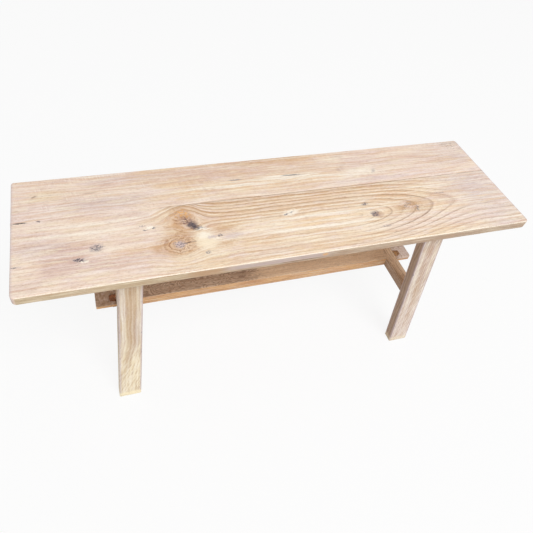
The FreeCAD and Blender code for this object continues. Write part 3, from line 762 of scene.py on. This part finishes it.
def rail_wood(name, colours, along, seed):
    """Tan wood with dark wavy grain. along is x for the stretcher and y for the cross rails.

    The stretcher's front is orange tan. The cross rails' sides are dull, and darkened all over with
    painted shade. The tops are greyer, with small dark loops of grain in places.
    """
    wood = Surface(name)
    stretcher = along == "x"
    z = wood.z
    run, across = (wood.x, wood.y) if stretcher else (wood.y, wood.x)
    run = run + seed * 900
    drift = wood.noise(run / 130, across / 50, z / 50) - 0.5
    ripple = wood.noise(run / 26, across / 9, z / 9, 3.0, 0.6) - 0.5
    bent = across + drift * 12 + ripple * 4
    late, sharp, early = year_rings(wood, bent * 0.6 + z * 0.8 + 300, 5.6, run)
    fibre = fibres(wood, run, bent, z)
    pore = pores(wood, run, bent, z)
    streak = wood.noise(run / 120, bent / 5, z / 5, 3.0)
    mottle = wood.noise(run / 4, across / 2.6, z / 2.6, 2.0, 0.7)

    side_paint = colours.rail_front if stretcher else colours.rail_grey
    wood.base = wood.grained(side_paint, colours.pale, colours.rail_ring, 1 - streak, 0.45, 0.16)
    if stretcher:
        reddish = wood.noise(run / 90, 0.0, z / 9, 2.0)
        wood.lay(wood.fade(reddish, 0.46, 0.6) * 0.5, colours.rust_tan)
    else:
        # Painted shade: darkens the cross rails' sides all over, like the shade under the bench
        wood.lay(0.4, colours.rail_dark)
    clear = 1.0 if stretcher else 1.5
    wood.lay(late * (0.45 * clear), colours.rail_ring)
    wood.lay(early * (0.25 * clear), colours.pale)

    loops = wood.noise(run / 62, across / 24, 6.0, 1.0) * 13 + ripple * 0.7
    loop_lines = wood.fade(wood.maths("PINGPONG", loops, 0.5), 0.2, 0.36)
    dark_part = (wood.fade(run + drift * 260, 10, -90) if stretcher
                 else wood.fade(streak, 0.4, 0.6) * 0.5)
    top = wood.mix(dark_part * 0.85, colours.rail_top, colours.rail_grey)
    top = wood.grained(top, colours.pale, colours.rail_dark, streak, 0.25, 0.16)
    top = wood.mix(loop_lines * (dark_part * 0.55 + 0.1), top, colours.rail_dark)
    wood.lay(wood.fade(z, RAIL_TOP - 3.5, RAIL_TOP - 1.5), top)

    wood.lay(sharp * (0.22 * clear * clear), colours.rail_dark)
    wood.grain(colours.pale, colours.rail_dark, fibre, 0.3, 0.14)
    wood.lay(pore * 0.3, colours.rail_dark)
    wood.grain(colours.pale, colours.rail_dark, mottle, 0.14, 0.18)
    if stretcher:
        tenon_ends(wood, colours, fibre)
    rough = fibre * 0.12 + 0.62
    height = fibre * 0.9 - late * 0.5 - pore * 0.7 + mottle * 0.4
    return wood.finish(rough, height, 0.45)


def tenon_ends(wood, colours, fibre):
    """The stretcher's tenons outside the rails: dull and stained at the left, pale at the right."""
    x, y, z = wood.x, wood.y, wood.z
    out = wood.maths("ABSOLUTE", x) - STRETCHER_SHOULDER
    tenon = wood.fade(out, -1, 1)
    stain = wood.noise(x / 10, y / 14, z / 4, 3.0, 0.6)
    dull = wood.grained(colours.rail_grey, colours.weathered, colours.rail_dark, stain, 0.5, 0.14)
    pale = wood.grained(colours.weathered, colours.bleached, colours.rail_grey, fibre, 0.5)
    pale = wood.mix(wood.fade(stain, 0.5, 0.62) * 0.6, pale, colours.rail_grey)
    right = wood.fade(x, -100, 100)
    skin = wood.mix(right, dull, pale)
    wood.lay(tenon * wood.fade(z, 200, 203.5), skin)
    strip = wood.mix(right, colours.rail_front, colours.rail_ring)
    wood.lay(tenon * wood.fade(z, 203, 200) * 0.6, strip)


def wedge_wood(name, colours, side):
    """Short stained grain: orange brown for the left wedge, and tan for the right one."""
    wood = Surface(name)
    z = wood.z + side * 300
    drift = wood.noise(wood.x / 14, wood.y / 14, z / 30) - 0.5
    bent = wood.y + drift * 5
    lines = year_rings(wood, bent + wood.x * 0.3 + 600, 2.2, z)[0]
    fibre = wood.noise(wood.x / 0.9, bent / 0.9, z / 18, 3.0, 0.6)
    blotch = wood.noise(wood.x / 4, wood.y / 4, z / 6, 2.0)
    raw = colours.wedge if side < 0 else colours.knot_brown
    wood.base = wood.mix(wood.fade(blotch, 0.46, 0.6) * 0.75, raw, colours.wedge_dark)
    wood.lay(lines * 0.45, colours.wedge_dark)
    wood.lay(wood.fade(fibre, 0.55, 0.72) * 0.45, colours.resin)
    return wood.finish(fibre * 0.15 + 0.55, fibre - lines * 0.5, 0.3)


def dowel_wood(colours):
    wood = Surface("dowel_wood")
    fibre = wood.noise(wood.x / 0.8, wood.y / 24, wood.z / 0.8, 3.0)
    wood.base = wood.mix(wood.fade(fibre, 0.4, 0.75) * 0.5, colours.dowel, colours.rail_ring)
    return wood.finish(fibre * 0.15 + 0.55, fibre, 0.15)


def floor_paint(colours):
    """A plain pale floor. Most of it stays white to the camera, so its shadows are faint."""
    white_share = 0.88
    paint = Surface("floor_paint")
    matt = paint.node("ShaderNodeBsdfDiffuse", {}, {"Color": (*colours.floor, 1.0)})
    white = paint.node("ShaderNodeEmission", {}, {"Color": (1.0, 1.0, 1.0, 1.0), "Strength": 1.0})
    path = paint.node("ShaderNodeLightPath", output="Is Camera Ray")
    glossy = path.twin("Is Glossy Ray")
    through = path.twin("Is Transmission Ray")
    seen = paint.maths("MAXIMUM", paint.maths("MAXIMUM", path, glossy), through)
    both = paint.node("ShaderNodeMixShader", {}, {0: seen * white_share, 1: matt, 2: white})
    paint.node_output(both)
    return paint.material


# Modelling

def block(name, low, high):
    """Adds a box between two corners, with its place in its mesh, and opens it in edit mode."""
    bpy.ops.object.select_all(action="DESELECT")
    low, high = Vector(low), Vector(high)
    bpy.ops.mesh.primitive_cube_add(size=1, location=(low + high) / 2)
    piece = bpy.context.object
    piece.name = name
    piece.data.name = name
    piece.scale = high - low
    bpy.ops.object.transform_apply(location=True, rotation=True, scale=True)
    bpy.ops.object.mode_set(mode="EDIT")
    return piece


def pick(piece, kind, wanted):
    """Selects the vertices, edges or faces that wanted says, and no more, in edit mode."""
    bpy.ops.mesh.select_mode(type=kind)
    bpy.ops.mesh.select_all(action="DESELECT")
    shape = bmesh.from_edit_mesh(piece.data)
    parts = {"VERT": shape.verts, "EDGE": shape.edges, "FACE": shape.faces}[kind]
    found = [part for part in parts if wanted(part)]
    if not found:
        raise RuntimeError(f"{piece.name} has nothing to select there")
    for part in found:
        part.select_set(True)
    shape.select_flush_mode()
    bmesh.update_edit_mesh(piece.data)


def middle(part):
    return sum((vertex.co for vertex in part.verts), Vector()) / len(part.verts)


def runs(edge, axis):
    """True for an edge that runs along an axis, 0, 1 or 2."""
    line = edge.verts[1].co - edge.verts[0].co
    return abs(line[axis]) > 0.95 * line.length


def ease(piece, wanted, radius, segments):
    """Bevels the wanted edges."""
    pick(piece, "EDGE", wanted)
    bpy.ops.mesh.bevel(offset=radius, segments=segments, profile=0.5)


def slice_up(axis, places):
    """Cuts loops of edges round the open piece, square to an axis."""
    normal = [0.0, 0.0, 0.0]
    normal[axis] = 1.0
    for place in places:
        bpy.ops.mesh.select_all(action="SELECT")
        bpy.ops.mesh.bisect(plane_co=[place * part for part in normal], plane_no=normal)


def spaced(low, high, step):
    """Places between low and high, about a step apart, without the two ends."""
    count = max(1, round((high - low) / step))
    return [low + (high - low) * index / count for index in range(1, count)]


def wear(piece, reach, depth, share=None):
    """Lowers the surface unevenly by up to depth, in patches about as wide as reach.

    share says how much of it a point takes, from 0 to 1.
    """
    clouds = bpy.data.textures.new(f"{piece.name}_wear", "CLOUDS")
    clouds.noise_scale = reach
    clouds.noise_depth = 1
    modifier = piece.modifiers.new("wear", "DISPLACE")
    modifier.texture = clouds
    modifier.texture_coords = "LOCAL"
    modifier.mid_level = 0.85
    modifier.strength = depth
    if share:
        group = piece.vertex_groups.new(name="worn")
        for vertex in piece.data.vertices:
            group.add([vertex.index], share(vertex.co), "REPLACE")
        modifier.vertex_group = group.name
    bpy.ops.object.modifier_apply(modifier=modifier.name)
    piece.vertex_groups.clear()


def cut_out(piece, cutters):
    """Takes the cutters' shapes out of a piece, and removes the cutters."""
    bpy.ops.object.select_all(action="DESELECT")
    for cutter in cutters:
        cutter.select_set(True)
    bpy.context.view_layer.objects.active = cutters[0]
    if len(cutters) > 1:
        bpy.ops.object.join()
    tool = bpy.context.object
    bpy.ops.object.select_all(action="DESELECT")
    piece.select_set(True)
    bpy.context.view_layer.objects.active = piece
    modifier = piece.modifiers.new("cut", "BOOLEAN")
    modifier.operation = "DIFFERENCE"
    modifier.solver = "EXACT"
    modifier.object = tool
    bpy.ops.object.modifier_apply(modifier=modifier.name)
    bpy.data.objects.remove(tool)
    if not piece.data.vertices:
        raise RuntimeError(f"{piece.name} could not be cut")


def box_cutter(low, high):
    """A plain box that only cuts."""
    cutter = block("cutter", low, high)
    bpy.ops.object.mode_set(mode="OBJECT")
    return cutter


def lens_cutter(at, size, turn=0.0):
    """A long thin lens for a crack, in millimetres. turn is about Z, in degrees."""
    bpy.ops.object.select_all(action="DESELECT")
    bpy.ops.mesh.primitive_uv_sphere_add(segments=24, ring_count=10, radius=0.5 * MM,
                                         location=Vector(at) * MM,
                                         rotation=(0, 0, math.radians(turn)))
    cutter = bpy.context.object
    cutter.scale = size
    bpy.ops.object.transform_apply(location=True, rotation=True, scale=True)
    return cutter


def settle(piece, node, wood):
    """Ends the modelling: shading, material, and what the piece stands for in the frame."""
    bpy.ops.object.select_all(action="DESELECT")
    piece.select_set(True)
    bpy.context.view_layer.objects.active = piece
    bpy.ops.object.shade_smooth_by_angle(angle=math.radians(40))
    piece.data.materials.clear()
    piece.data.materials.append(wood)
    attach(piece, "root")
    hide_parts(node)


def leg_socket(side, end):
    """A cutter for the mortise of a leg's tenon in the top, leaning with the leg."""
    depth = 16
    half_x = 19.2
    half_y = 7.2
    under = SEAT - BOARD
    at_x = side * (FOOT_X - LEAN_ALONG * under)
    at_y = end * (FOOT_Y - LEAN_ACROSS * under)
    cutter = block("cutter", Vector((at_x - half_x, at_y - half_y, under - 1)) * MM,
                   Vector((at_x + half_x, at_y + half_y, under + depth)) * MM)
    pick(cutter, "VERT", lambda v: v.co.z > (under + depth / 2) * MM)
    bpy.ops.transform.translate(
        value=Vector((-side * LEAN_ALONG, -end * LEAN_ACROSS, 0)) * depth * MM)
    bpy.ops.object.mode_set(mode="OBJECT")
    return cutter


def dowel_sockets():
    """Cutters for the dowels' bores in the joint of the two boards."""
    low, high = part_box("board_joint_dowels")
    radius = 4 * MM
    count = 5
    cutters = []
    for number in range(count):
        place = (low + high) / 2
        place.x = low.x + radius + (high.x - low.x - 2 * radius) * number / (count - 1)
        bpy.ops.object.select_all(action="DESELECT")
        bpy.ops.mesh.primitive_cylinder_add(vertices=24, radius=radius + 0.2 * MM, depth=52 * MM,
                                            location=place, rotation=(math.pi / 2, 0, 0))
        bpy.ops.object.transform_apply(location=True, rotation=True, scale=True)
        cutters.append(bpy.context.object)
    return cutters


def make_board(name, node, end, corner, sizes):
    """A board of the top, sliced fine enough to take the hollows and dents of wear."""
    low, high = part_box(node)
    board = block(name, low, high)
    outer = high.y if end > 0 else low.y
    seam = SEAM * MM
    ease(board, lambda e: runs(e, 2) and abs(middle(e).y - outer) < MM, corner, 8)
    ease(board, lambda e: not runs(e, 2) and abs(middle(e).y - seam) > MM, sizes.top_arris, 4)
    ease(board, lambda e: runs(e, 0) and abs(middle(e).y - seam) < 0.1 * MM, sizes.seam_arris, 2)
    slice_up(0, spaced(low.x, high.x, ROW))
    slice_up(1, spaced(low.y, high.y, ROW))
    slice_up(2, spaced(low.z, high.z, 8 * MM))
    bpy.ops.object.mode_set(mode="OBJECT")
    clear = lambda co: min(1.0, abs(co.y - seam) / (6 * MM))
    wear(board, 0.22, sizes.sag, clear)
    wear(board, 0.03, sizes.dents, clear)
    return board


def add_top(sizes, colours):
    """Both boards, with their splits, the pits of their knots and the sockets of their joints.

    A split is its place, its size and its turn.
    """
    front_splits = (
        ((-606, SEAM, SEAT), (28, 2.8, 12), 0), ((-566, SEAM, SEAT), (11, 3.2, 8), 0),
        ((-618, -95, SEAT), (30, 1.2, 8), -8), ((-12, -HALF_WIDTH, SEAT - 16.5), (88, 6, 1.8), 0),
        ((-250, -90, SEAT), (24, 0.9, 4), 4), ((-241, -27, SEAT), (15, 1.6, 4), -50),
        ((-226, -44, SEAT), (15, 2, 5), -40), ((-176, -80, SEAT), (8, 3.6, 4), 10),
        ((-320, -31, SEAT), (5, 4, 4), 0), ((-337, -34, SEAT), (12, 2, 3), 4),
        ((-488, -98, SEAT), (20, 2.4, 3), -6))
    front = make_board("worn_front_board", "top_front_board", -1, sizes.front_corner, sizes)
    cut_out(front, [lens_cutter(*split) for split in front_splits] + top_sockets(-1))
    settle(front, "top_front_board", front_board_wood(colours))

    back_splits = (((66, 97.6, SEAT), (52, 1.5, 8), -4), ((-88, 101, SEAT), (26, 1.1, 4), 0),
                   ((-606, SEAM, SEAT), (28, 2, 10), 0))
    back = make_board("worn_back_board", "top_back_board", 1, sizes.back_corner, sizes)
    sockets = top_sockets(1)
    cut_out(back, [lens_cutter(*split) for split in back_splits] + sockets)
    settle(back, "top_back_board", back_board_wood(colours))


def top_sockets(end):
    """Cutters for the joints of one board."""
    return [leg_socket(side, end) for side in SIDES.values()] + dowel_sockets()


def make_leg(name, node, side, end, sizes, wood):
    """A leg from foot to shoulder, with its tenon and the rail's mortise."""
    half = Vector((LEG_HALF_X, LEG_HALF_Y, 0)) * MM
    foot = Vector((side * FOOT_X, end * FOOT_Y, 0)) * MM
    rise = (SEAT - BOARD) * MM
    tenon = 15 * MM
    leg = block(name, foot - half, foot + half + Vector((0, 0, rise)))
    lean = Vector((-side * LEAN_ALONG, -end * LEAN_ACROSS, 0))
    pick(leg, "VERT", lambda v: v.co.z > rise / 2)
    bpy.ops.transform.translate(value=lean * rise)
    pick(leg, "VERT", lambda v: v.co.z < MM)
    bpy.ops.transform.resize(value=(FOOT_FLARE, 1, 1), center_override=foot)
    pick(leg, "FACE", lambda f: f.normal.z > 0.9)
    bpy.ops.mesh.inset(thickness=8 * MM)
    bpy.ops.transform.resize(value=(0.95, 1, 1))
    bpy.ops.mesh.extrude_region_move(
        TRANSFORM_OT_translate={"value": (lean + Vector((0, 0, 1))) * tenon})
    ease(leg, lambda e: abs(e.verts[0].co.z - e.verts[1].co.z) > rise / 2, sizes.leg_arris, 3)
    ease(leg, lambda e: max(v.co.z for v in e.verts) < MM, sizes.leg_arris * 0.8, 2)
    slice_up(2, spaced(0, rise, ROW))
    bpy.ops.object.mode_set(mode="OBJECT")
    wear(leg, 0.05, sizes.dents * 1.4)
    half_x = 5.7
    half_z = 11.2
    rail_x = side * (FOOT_X - LEAN_ALONG * RAIL_MIDDLE)
    near, far = sorted((end * (RAIL_HALF - 3), end * (RAIL_HALF + 21)))
    cut_out(leg, [box_cutter(Vector((rail_x - half_x, near, RAIL_MIDDLE - half_z)) * MM,
                             Vector((rail_x + half_x, far, RAIL_MIDDLE + half_z)) * MM)])
    settle(leg, node, wood)


def add_legs(sizes, colours):
    seed = 0
    sweeps = (14, -6, 10, -14)
    for end_name, end in ENDS.items():
        for side_name, side in SIDES.items():
            seed += 1
            node = f"{end_name}_{side_name}_leg"
            wood = leg_wood(f"{node}_wood", colours, side, end, seed, sweeps[seed - 1])
            make_leg(f"worn_{node}", node, side, end, sizes, wood)


def add_cross_rails(sizes, colours):
    """Cross rails between the legs of each end, with slanted shoulders and blind tenons."""
    inner = RAIL_HALF * MM
    half_height = 15
    drop = LEAN_ACROSS * half_height * MM
    tenon = 20 * MM
    tenon_share = 11 / 25
    past = 10 * MM
    half_y = 26.7 * MM
    half_z = 5.7
    for side_name, side in SIDES.items():
        node = f"{side_name}_cross_rail"
        low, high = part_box(node)
        rail = block(f"worn_{node}", (low.x, -inner, low.z), (high.x, inner, high.z))
        for end in ENDS.values():
            for level, slide in ((high.z, -drop), (low.z, drop)):
                pick(rail, "VERT", lambda v: v.co.y * end > 0 and abs(v.co.z - level) < MM)
                bpy.ops.transform.translate(value=(0, end * slide, 0))
        for end in ENDS.values():
            pick(rail, "FACE", lambda f: f.normal.y * end > 0.9)
            bpy.ops.mesh.inset(thickness=4 * MM)
            bpy.ops.transform.resize(value=(tenon_share, 1, 1))
            bpy.ops.mesh.extrude_region_move(
                TRANSFORM_OT_translate={"value": (0, end * tenon, 0)})
            bpy.ops.transform.resize(value=(1, 0, 1),
                                     center_override=(0, end * (inner + tenon), 0))
        ease(rail, lambda e: runs(e, 1) and (e.verts[0].co - e.verts[1].co).length > inner,
             sizes.rail_arris, 3)
        slice_up(1, spaced(-inner, inner, 10 * MM))
        bpy.ops.object.mode_set(mode="OBJECT")
        wear(rail, 0.04, sizes.dents * 1.5)
        cut_out(rail, [box_cutter((low.x - past, -half_y, (RAIL_MIDDLE - half_z) * MM),
                                  (high.x + past, half_y, (RAIL_MIDDLE + half_z) * MM))])
        settle(rail, node, rail_wood(f"{node}_wood", colours, "y", side))


def add_stretcher(sizes, colours):
    """The long bar, with a thin through tenon at each end and a wedge mortise in each."""
    low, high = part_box("long_stretcher")
    rail_low, rail_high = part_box("right_cross_rail")
    half_tenon = 5.5
    half_hole = 9
    strip = 13 * MM
    corners = {-1: 3 * MM, 1: 8 * MM}
    bar = block("worn_stretcher", (-rail_low.x, low.y, low.z), (rail_low.x, high.y, high.z))
    ease(bar, lambda e: runs(e, 0), sizes.rail_arris, 3)
    slice_up(0, spaced(-rail_low.x, rail_low.x, ROW))
    slice_up(2, [(RAIL_MIDDLE - half_tenon) * MM, (RAIL_MIDDLE + half_tenon) * MM])
    slice_up(1, [-strip, 0, strip])
    for side, corner in corners.items():
        pick(bar, "FACE", lambda f: f.normal.x * side > 0.9
             and abs(middle(f).z - RAIL_MIDDLE * MM) < MM)
        bpy.ops.mesh.extrude_region_move(
            TRANSFORM_OT_translate={"value": (side * (high.x - rail_low.x), 0, 0)})
        ease(bar, lambda e: runs(e, 2) and abs(abs(middle(e).y) - high.y) < MM
             and abs(middle(e).x - side * high.x) < MM, corner, 6)
    slice_up(0, spaced(rail_low.x, high.x, ROW))
    slice_up(0, spaced(-high.x, -rail_low.x, ROW))
    bpy.ops.object.mode_set(mode="OBJECT")
    wear(bar, 0.05, sizes.dents * 1.5)
    holes = []
    for side in SIDES.values():
        near, far = sorted((side * (rail_high.x - 3 * MM), side * (rail_high.x + 16.5 * MM)))
        holes.append(box_cutter((near, -16 * MM, (RAIL_MIDDLE - half_hole) * MM),
                                (far, 8 * MM, (RAIL_MIDDLE + half_hole) * MM)))
    cut_out(bar, holes)
    settle(bar, "long_stretcher", rail_wood("stretcher_wood", colours, "x", 0))


def add_wedges(sizes, colours):
    """The tapered wedges that lock the through tenons outside the rails."""
    taper = 6 * MM
    step = 4 * MM
    for side_name, side in SIDES.items():
        node = f"{side_name}_tenon_wedge"
        low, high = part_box(node)
        wedge = block(f"worn_{node}", low, high)
        outer = high.x if side > 0 else low.x
        pick(wedge, "VERT", lambda v: abs(v.co.x - outer) < MM and v.co.z < low.z + MM)
        bpy.ops.transform.translate(value=(-side * taper, 0, 0))
        ease(wedge, lambda e: True, sizes.wedge_arris, 2)
        slice_up(2, spaced(low.z, high.z, step))
        slice_up(1, spaced(low.y, high.y, step))
        bpy.ops.object.mode_set(mode="OBJECT")
        wear(wedge, 0.012, sizes.dents)
        settle(wedge, node, wedge_wood(f"{node}_wood", colours, side))


# Camera, lamps and floor

def add_camera():
    """The photograph's own view, found by fitting the bench's edges."""
    lens = bpy.data.cameras.new("camera")
    lens.sensor_width = 36.0
    lens.lens = 32.464
    lens.shift_x = 0.068655
    lens.shift_y = -0.009029
    lens.clip_start = 0.01
    camera = bpy.data.objects.new("camera", lens)
    across = Vector((0.95953436, -0.26504983, 0.09509156))
    upward = Vector((0.14257822, 0.74850709, 0.64761762))
    back = Vector((-0.24282765, -0.60785337, 0.75600861))
    turned = Matrix((across, upward, back)).transposed().to_4x4()
    camera.matrix_world = Matrix.Translation((-0.42855551, -0.79928335, 1.27147556)) @ turned
    bpy.context.scene.collection.objects.link(camera)
    bpy.context.scene.camera = camera


def add_lamp(name, place, size, power):
    """A square soft lamp that looks at the middle of the bench."""
    light = bpy.data.lights.new(name, "AREA")
    light.size = size
    light.energy = power
    lamp = bpy.data.objects.new(name, light)
    lamp.location = place
    lamp.rotation_euler = (Vector((0, 0, 0.3)) - Vector(place)).to_track_quat("-Z", "Y").to_euler()
    bpy.context.scene.collection.objects.link(lamp)


def add_world(strength):
    """An even pale sky, which looks white itself."""
    world = bpy.data.worlds.new("studio")
    bpy.context.scene.world = world
    world.use_nodes = True
    tree = world.node_tree
    sky = tree.nodes["Background"]
    sky.inputs["Color"].default_value = (1.0, 1.0, 1.0, 1.0)
    path = tree.nodes.new("ShaderNodeLightPath")
    seen = path.outputs["Is Camera Ray"]
    for other in ("Is Glossy Ray", "Is Transmission Ray"):
        either = tree.nodes.new("ShaderNodeMath")
        either.operation = "MAXIMUM"
        tree.links.new(seen, either.inputs[0])
        tree.links.new(path.outputs[other], either.inputs[1])
        seen = either.outputs[0]
    level = tree.nodes.new("ShaderNodeMapRange")
    level.inputs["To Min"].default_value = strength
    level.inputs["To Max"].default_value = 1.0
    tree.links.new(seen, level.inputs["Value"])
    tree.links.new(level.outputs["Result"], sky.inputs["Strength"])


def add_floor(colours):
    bpy.ops.object.select_all(action="DESELECT")
    bpy.ops.mesh.primitive_plane_add(size=60, location=(0, 0, 0))
    floor = bpy.context.object
    floor.name = "floor"
    floor.data.materials.append(floor_paint(colours))


# Operators

def settings(context):
    return context.scene.bench_sizes, context.scene.bench_colours


class BENCH_OT_stage(bpy.types.Operator):
    """Add the camera, the lamps, the sky and the floor"""

    bl_idname = "bench.stage"
    bl_label = "Stage"

    def execute(self, context):
        context.scene.view_settings.view_transform = "Standard"
        add_camera()
        add_lamp("key_lamp", (1.0, -3.6, 6.0), 3.2, 310)
        add_world(0.5)
        add_floor(context.scene.bench_colours)
        return {"FINISHED"}


class BENCH_OT_top(bpy.types.Operator):
    """Add the two worn boards of the top"""

    bl_idname = "bench.top"
    bl_label = "Top Boards"

    def execute(self, context):
        add_top(*settings(context))
        return {"FINISHED"}


class BENCH_OT_legs(bpy.types.Operator):
    """Add the four splayed legs"""

    bl_idname = "bench.legs"
    bl_label = "Legs"

    def execute(self, context):
        add_legs(*settings(context))
        return {"FINISHED"}


class BENCH_OT_cross_rails(bpy.types.Operator):
    """Add the cross rail of each end"""

    bl_idname = "bench.cross_rails"
    bl_label = "Cross Rails"

    def execute(self, context):
        add_cross_rails(*settings(context))
        return {"FINISHED"}


class BENCH_OT_stretcher(bpy.types.Operator):
    """Add the long stretcher with its through tenons"""

    bl_idname = "bench.stretcher"
    bl_label = "Stretcher"

    def execute(self, context):
        add_stretcher(*settings(context))
        return {"FINISHED"}


class BENCH_OT_wedges(bpy.types.Operator):
    """Add the two wedges in the through tenons"""

    bl_idname = "bench.wedges"
    bl_label = "Wedges"

    def execute(self, context):
        add_wedges(*settings(context))
        return {"FINISHED"}


class BENCH_OT_dowels(bpy.types.Operator):
    """Give the hidden dowels of the board joint their wood"""

    bl_idname = "bench.dowels"
    bl_label = "Dowels"

    def execute(self, context):
        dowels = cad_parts["board_joint_dowels"]
        dowels.data.materials.clear()
        dowels.data.materials.append(dowel_wood(context.scene.bench_colours))
        return {"FINISHED"}


class BENCH_PT_pieces(bpy.types.Panel):
    """Lists the bench's pieces"""

    bl_idname = "BENCH_PT_pieces"
    bl_label = "Worn Plank Bench"
    bl_space_type = "VIEW_3D"
    bl_region_type = "UI"
    bl_category = "Bench"

    def draw(self, context):
        for operator in OPERATORS:
            self.layout.operator(operator.bl_idname)
        for group in settings(context):
            for name in group.__annotations__:
                self.layout.prop(group, name)


OPERATORS = (BENCH_OT_stage, BENCH_OT_top, BENCH_OT_legs, BENCH_OT_cross_rails,
             BENCH_OT_stretcher, BENCH_OT_wedges, BENCH_OT_dowels)
CLASSES = (BenchSizes, BenchColours, *OPERATORS, BENCH_PT_pieces)


def register():
    for item in CLASSES:
        bpy.utils.register_class(item)
    bpy.types.Scene.bench_sizes = bpy.props.PointerProperty(type=BenchSizes)
    bpy.types.Scene.bench_colours = bpy.props.PointerProperty(type=BenchColours)


def unregister():
    del bpy.types.Scene.bench_colours
    del bpy.types.Scene.bench_sizes
    for item in reversed(CLASSES):
        bpy.utils.unregister_class(item)


def main():
    register()
    bpy.ops.bench.stage()
    bpy.ops.bench.top()
    bpy.ops.bench.legs()
    bpy.ops.bench.cross_rails()
    bpy.ops.bench.stretcher()
    bpy.ops.bench.wedges()
    bpy.ops.bench.dowels()


if __name__ == "__main__":
    main()
